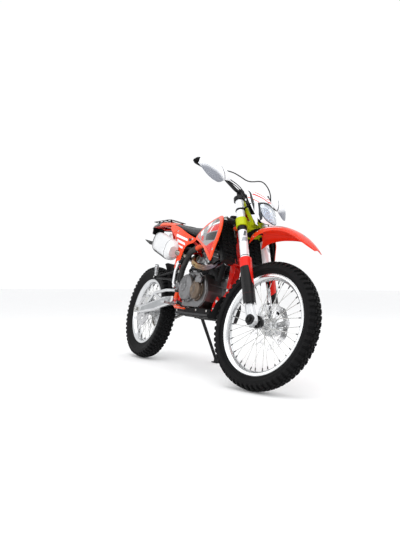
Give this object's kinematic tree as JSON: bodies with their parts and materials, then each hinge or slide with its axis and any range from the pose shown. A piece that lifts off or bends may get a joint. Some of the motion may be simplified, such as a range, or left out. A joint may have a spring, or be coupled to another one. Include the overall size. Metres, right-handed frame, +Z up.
{
  "type": "off-road motorcycle",
  "caption": "Single-cylinder off-road motorcycle leaning on its side stand, with turning wheels, a steered front fork, a folding side stand, rear rack and skid plate.",
  "frame": {"origin": "on the ground, under the middle of the bounding box, with the machine parked on its side stand", "axes": "+X forward along the machine, +Y to the rider's left, +Z up"},
  "size_m": [2.1472, 0.744, 1.2895],
  "materials": {
    "red_frame": "gloss paint",
    "silver_alloy": "cast, satin",
    "black_alloy": "satin black",
    "bright_alloy": "polished",
    "steel": "machined",
    "header_steel": "heat tinted",
    "lime_alloy": "fluorescent paint",
    "orange_plastic": "gloss, with stripes",
    "white_plastic": "gloss",
    "black_plastic": "grained",
    "seat_cover": "vinyl",
    "tyre": "knobbed",
    "rubber": "matte",
    "clear_lens": "clear",
    "red_lens": "gloss",
    "orange_alloy": "anodised",
    "radiator": "black, finned"
  },
  "bodies": {
    "chassis": {"frame": "red_frame", "crankcase": "silver_alloy", "cylinder": "black_alloy", "exhaust_header": "header_steel", "muffler": "bright_alloy", "swing_arm": "silver_alloy", "rear_shock": "steel", "rear_axle": "steel", "drive_chain": "steel", "fuel_tank": "black_plastic", "seat": "seat_cover", "shroud_right": "orange_plastic", "shroud_left": "orange_plastic", "side_panel_right": "orange_plastic", "side_panel_left": "orange_plastic", "rear_fender": "orange_plastic", "radiators": "radiator", "skid_plate": "black_plastic", "foot_pegs": "black_alloy", "foot_levers": "orange_alloy", "rear_brake_caliper": "silver_alloy", "rear_rack": "black_alloy", "tail_light": "red_lens"},
    "front_fork": {"fork_tubes": "white_plastic", "fork_legs": "silver_alloy", "fork_guards": "orange_plastic", "triple_clamps": "lime_alloy", "handlebar": "black_alloy", "hand_guards": "white_plastic", "headlight_mask": "white_plastic", "headlight_lens": "clear_lens", "front_fender": "orange_plastic", "front_brake_caliper": "silver_alloy", "front_brake_hose": "rubber", "front_axle": "steel"},
    "front_wheel": {"front_tyre": "tyre", "front_rim": "bright_alloy", "front_hub": "silver_alloy", "front_disc": "steel"},
    "rear_wheel": {"rear_tyre": "tyre", "rear_rim": "bright_alloy", "rear_hub": "silver_alloy", "rear_disc": "steel", "rear_sprocket": "steel"},
    "stand": {"side_stand": "black_alloy"}
  },
  "joints": [
    {"name": "steering", "type": "hinge", "parent": "chassis", "child": "front_fork", "pos_m": [0.36414, -0.04593, 0.92811], "axis": [-0.4437, 0.1886, 0.8761], "range_deg": [-52.6, 27.4]},
    {"name": "front_wheel_spin", "type": "hinge", "parent": "front_fork", "child": "front_wheel", "pos_m": [0.72811, -0.15939, 0.33787], "axis": [-0.1955, 0.9337, -0.3], "continuous": true},
    {"name": "rear_wheel_spin", "type": "hinge", "parent": "chassis", "child": "rear_wheel", "pos_m": [-0.73059, -0.1731, 0.33742], "axis": [0, 0.9776, -0.2105], "continuous": true},
    {"name": "side_stand_fold", "type": "hinge", "parent": "chassis", "child": "stand", "pos_m": [-0.19053, -0.03715, 0.3322], "axis": [-0.3693, 0.9293, -0.0048], "range_deg": [0, 100]}
  ]
}
